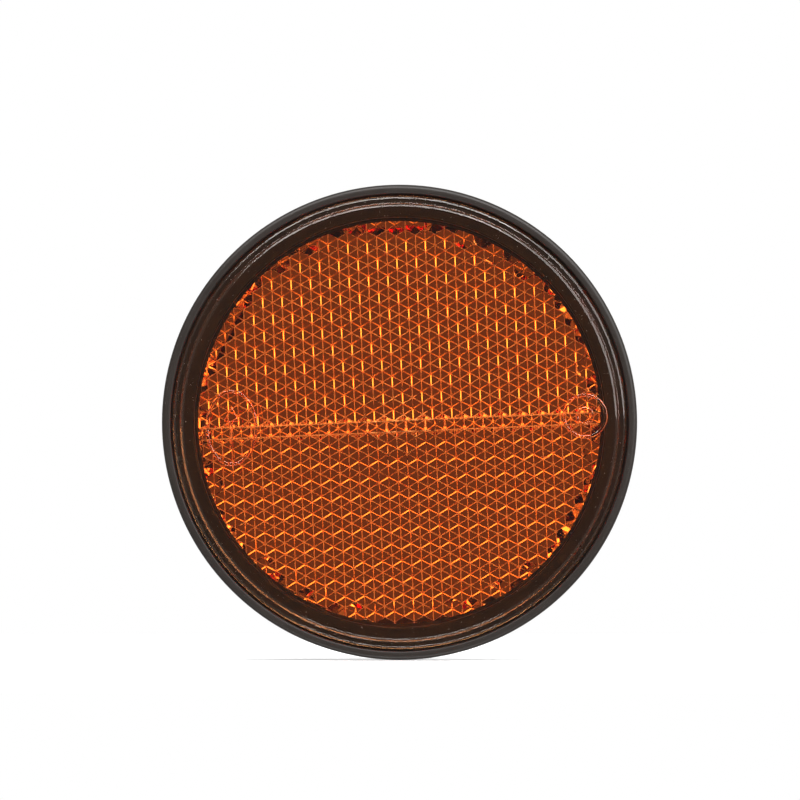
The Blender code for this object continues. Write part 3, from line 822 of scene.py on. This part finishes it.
# Nut. M5, cold-formed from hexagon steel and zinc plated, with its corners turned down at both
# ends, countersunk mouths and a tapped thread that follows the stud's helix.
nut_low, nut_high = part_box("hex_nut")
nut_back, nut_front = -nut_high[1], -nut_low[1]
nut_flats = 8.0 * mm
thread_clearance = 0.06 * mm
mouth_radius, mouth_depth = 2.7 * mm, 0.7 * mm
corner_fall = 0.4 * mm
past_face = 0.1 * mm
turns_below, tap_turns = 6.0, 9.0  # from the stud's tip to the tap's start, and the tap's own
nut = hexagon_blank("nut_body", nut_flats, nut_back, nut_front, corner_fall, corner_fall)
tap_start = stud_tip + turns_below * thread_pitch
tap = threaded_rod("tap", thread_radius + thread_clearance, tap_start, tap_turns * thread_pitch,
                   tip_radius + thread_clearance)
combine(nut, tap, "DIFFERENCE", "MANIFOLD")
for face, inwards in ((nut_back, 1.0), (nut_front, -1.0)):
    outer, inner = face - inwards * past_face, face + inwards * mouth_depth
    mouth = [(0.0, outer), (mouth_radius + past_face, outer)]
    mouth += [(mouth_radius - mouth_depth, inner), (0.0, inner)]
    combine(nut, shaped("mouth", turned(mouth, 96)), "DIFFERENCE", "MANIFOLD")
soften_shading(nut, 32.0)
put_in_place(nut, "hex_nut", zinc, "nut")

# Studio. A pale floor under the rim that fades into a white surround. What the reflector sees
# is a white tent with soft lights in it and a darker opening in front, where the camera is.
floor_height = cad_box[0][2] - 0.1 * mm
floor_radius = 0.36
floor_fade = (0.12, 0.34)  # distances from its centre at which it starts and ends
opening_edge = (28.0, 10.0)  # degrees from -Y between which the tent darkens


def studio_floor():
    bm = bmesh.new()
    bmesh.ops.create_circle(bm, cap_ends=True, segments=96, radius=floor_radius)
    bmesh.ops.translate(bm, verts=bm.verts, vec=(0.0, 0.0, floor_height))
    floor = shaped("floor", bm)
    paint = new_material("pale floor", (0.88, 0.88, 0.88), 0.9)
    nodes, links = paint.node_tree.nodes, paint.node_tree.links
    shader = nodes["Principled BSDF"]
    shader.inputs["Specular IOR Level"].default_value = 0.0
    shader.inputs["Emission Color"].default_value = (1.0, 1.0, 1.0, 1.0)
    shader.inputs["Emission Strength"].default_value = 0.3
    place = nodes.new("ShaderNodeTexCoord")
    length = nodes.new("ShaderNodeVectorMath")
    length.operation = "LENGTH"
    links.new(place.outputs["Object"], length.inputs[0])
    fade = ranged(paint, length.outputs["Value"], floor_fade, (0.0, 1.0))
    clear = nodes.new("ShaderNodeBsdfTransparent")
    mix = nodes.new("ShaderNodeMixShader")
    links.new(fade, mix.inputs["Fac"])
    links.new(shader.outputs[0], mix.inputs[1])
    links.new(clear.outputs[0], mix.inputs[2])
    links.new(mix.outputs[0], nodes["Material Output"].inputs["Surface"])
    floor.data.materials.append(paint)
    floor.visible_shadow = False
    floor.visible_glossy = False
    floor.visible_transmission = False


def studio_tent(seen, tent, opening):
    """White to the camera; to the reflector, a tent with a darker opening towards -Y."""
    world = bpy.data.worlds.new("tent")
    scene.world = world
    world.use_nodes = True
    nodes, links = world.node_tree.nodes, world.node_tree.links
    nodes.clear()
    place = nodes.new("ShaderNodeTexCoord")
    forward = nodes.new("ShaderNodeVectorMath")
    forward.operation = "DOT_PRODUCT"
    forward.inputs[1].default_value = (0.0, -1.0, 0.0)
    links.new(place.outputs["Generated"], forward.inputs[0])
    share = nodes.new("ShaderNodeMapRange")
    share.interpolation_type = "SMOOTHSTEP"
    share.inputs["From Min"].default_value = math.cos(math.radians(opening_edge[0]))
    share.inputs["From Max"].default_value = math.cos(math.radians(opening_edge[1]))
    share.inputs["To Min"].default_value = tent
    share.inputs["To Max"].default_value = opening
    links.new(forward.outputs["Value"], share.inputs["Value"])
    path = nodes.new("ShaderNodeLightPath")
    choice = nodes.new("ShaderNodeMix")
    choice.inputs["B"].default_value = seen
    links.new(path.outputs["Is Camera Ray"], choice.inputs["Factor"])
    links.new(share.outputs["Result"], choice.inputs["A"])
    glow = nodes.new("ShaderNodeBackground")
    links.new(choice.outputs["Result"], glow.inputs["Strength"])
    glow.inputs["Color"].default_value = (1.0, 1.0, 1.0, 1.0)
    links.new(glow.outputs[0], nodes.new("ShaderNodeOutputWorld").inputs["Surface"])


def soft_light(name, at, size, brightness):
    """A rectangle of light that faces the reflector and is this many times as bright as white."""
    data = bpy.data.lights.new(name, "AREA")
    data.shape = "RECTANGLE"
    data.size, data.size_y = size
    data.energy = brightness * math.pi * size[0] * size[1]
    light = bpy.data.objects.new(name, data)
    light.location = at
    light.rotation_euler = (-Vector(at)).to_track_quat("-Z", "Y").to_euler()
    light.visible_camera = False
    scene.collection.objects.link(light)


studio_floor()
studio_tent(seen=1.0, tent=0.55, opening=0.18)
soft_light("overhead", at=(-0.07, -0.38, 0.50), size=(0.75, 0.40), brightness=9.0)
soft_light("right", at=(0.42, -0.40, 0.30), size=(0.65, 0.65), brightness=5.0)
soft_light("low", at=(0.0, -0.40, -0.50), size=(0.50, 0.15), brightness=8.0)

# Camera. It looks straight at the lens from far away, a little above its centre, so that the
# rim fills just under six tenths of the picture's width.
camera_distance = 3.0
picture_width = 3.3655 * housing_radius
sensor_width = 36.0
camera_data = bpy.data.cameras.new("camera")
camera_data.sensor_width = sensor_width
camera_data.lens = sensor_width * camera_distance / picture_width
camera_data.clip_end = 100.0
camera = bpy.data.objects.new("camera", camera_data)
camera.location = (0.06 * mm, -rim_crest - camera_distance, 2.82 * mm)
camera.rotation_euler = (math.pi / 2.0, 0.0, 0.0)
scene.collection.objects.link(camera)
scene.camera = camera
scene.view_settings.view_transform = "Standard"
scene.cycles.glossy_bounces = 12
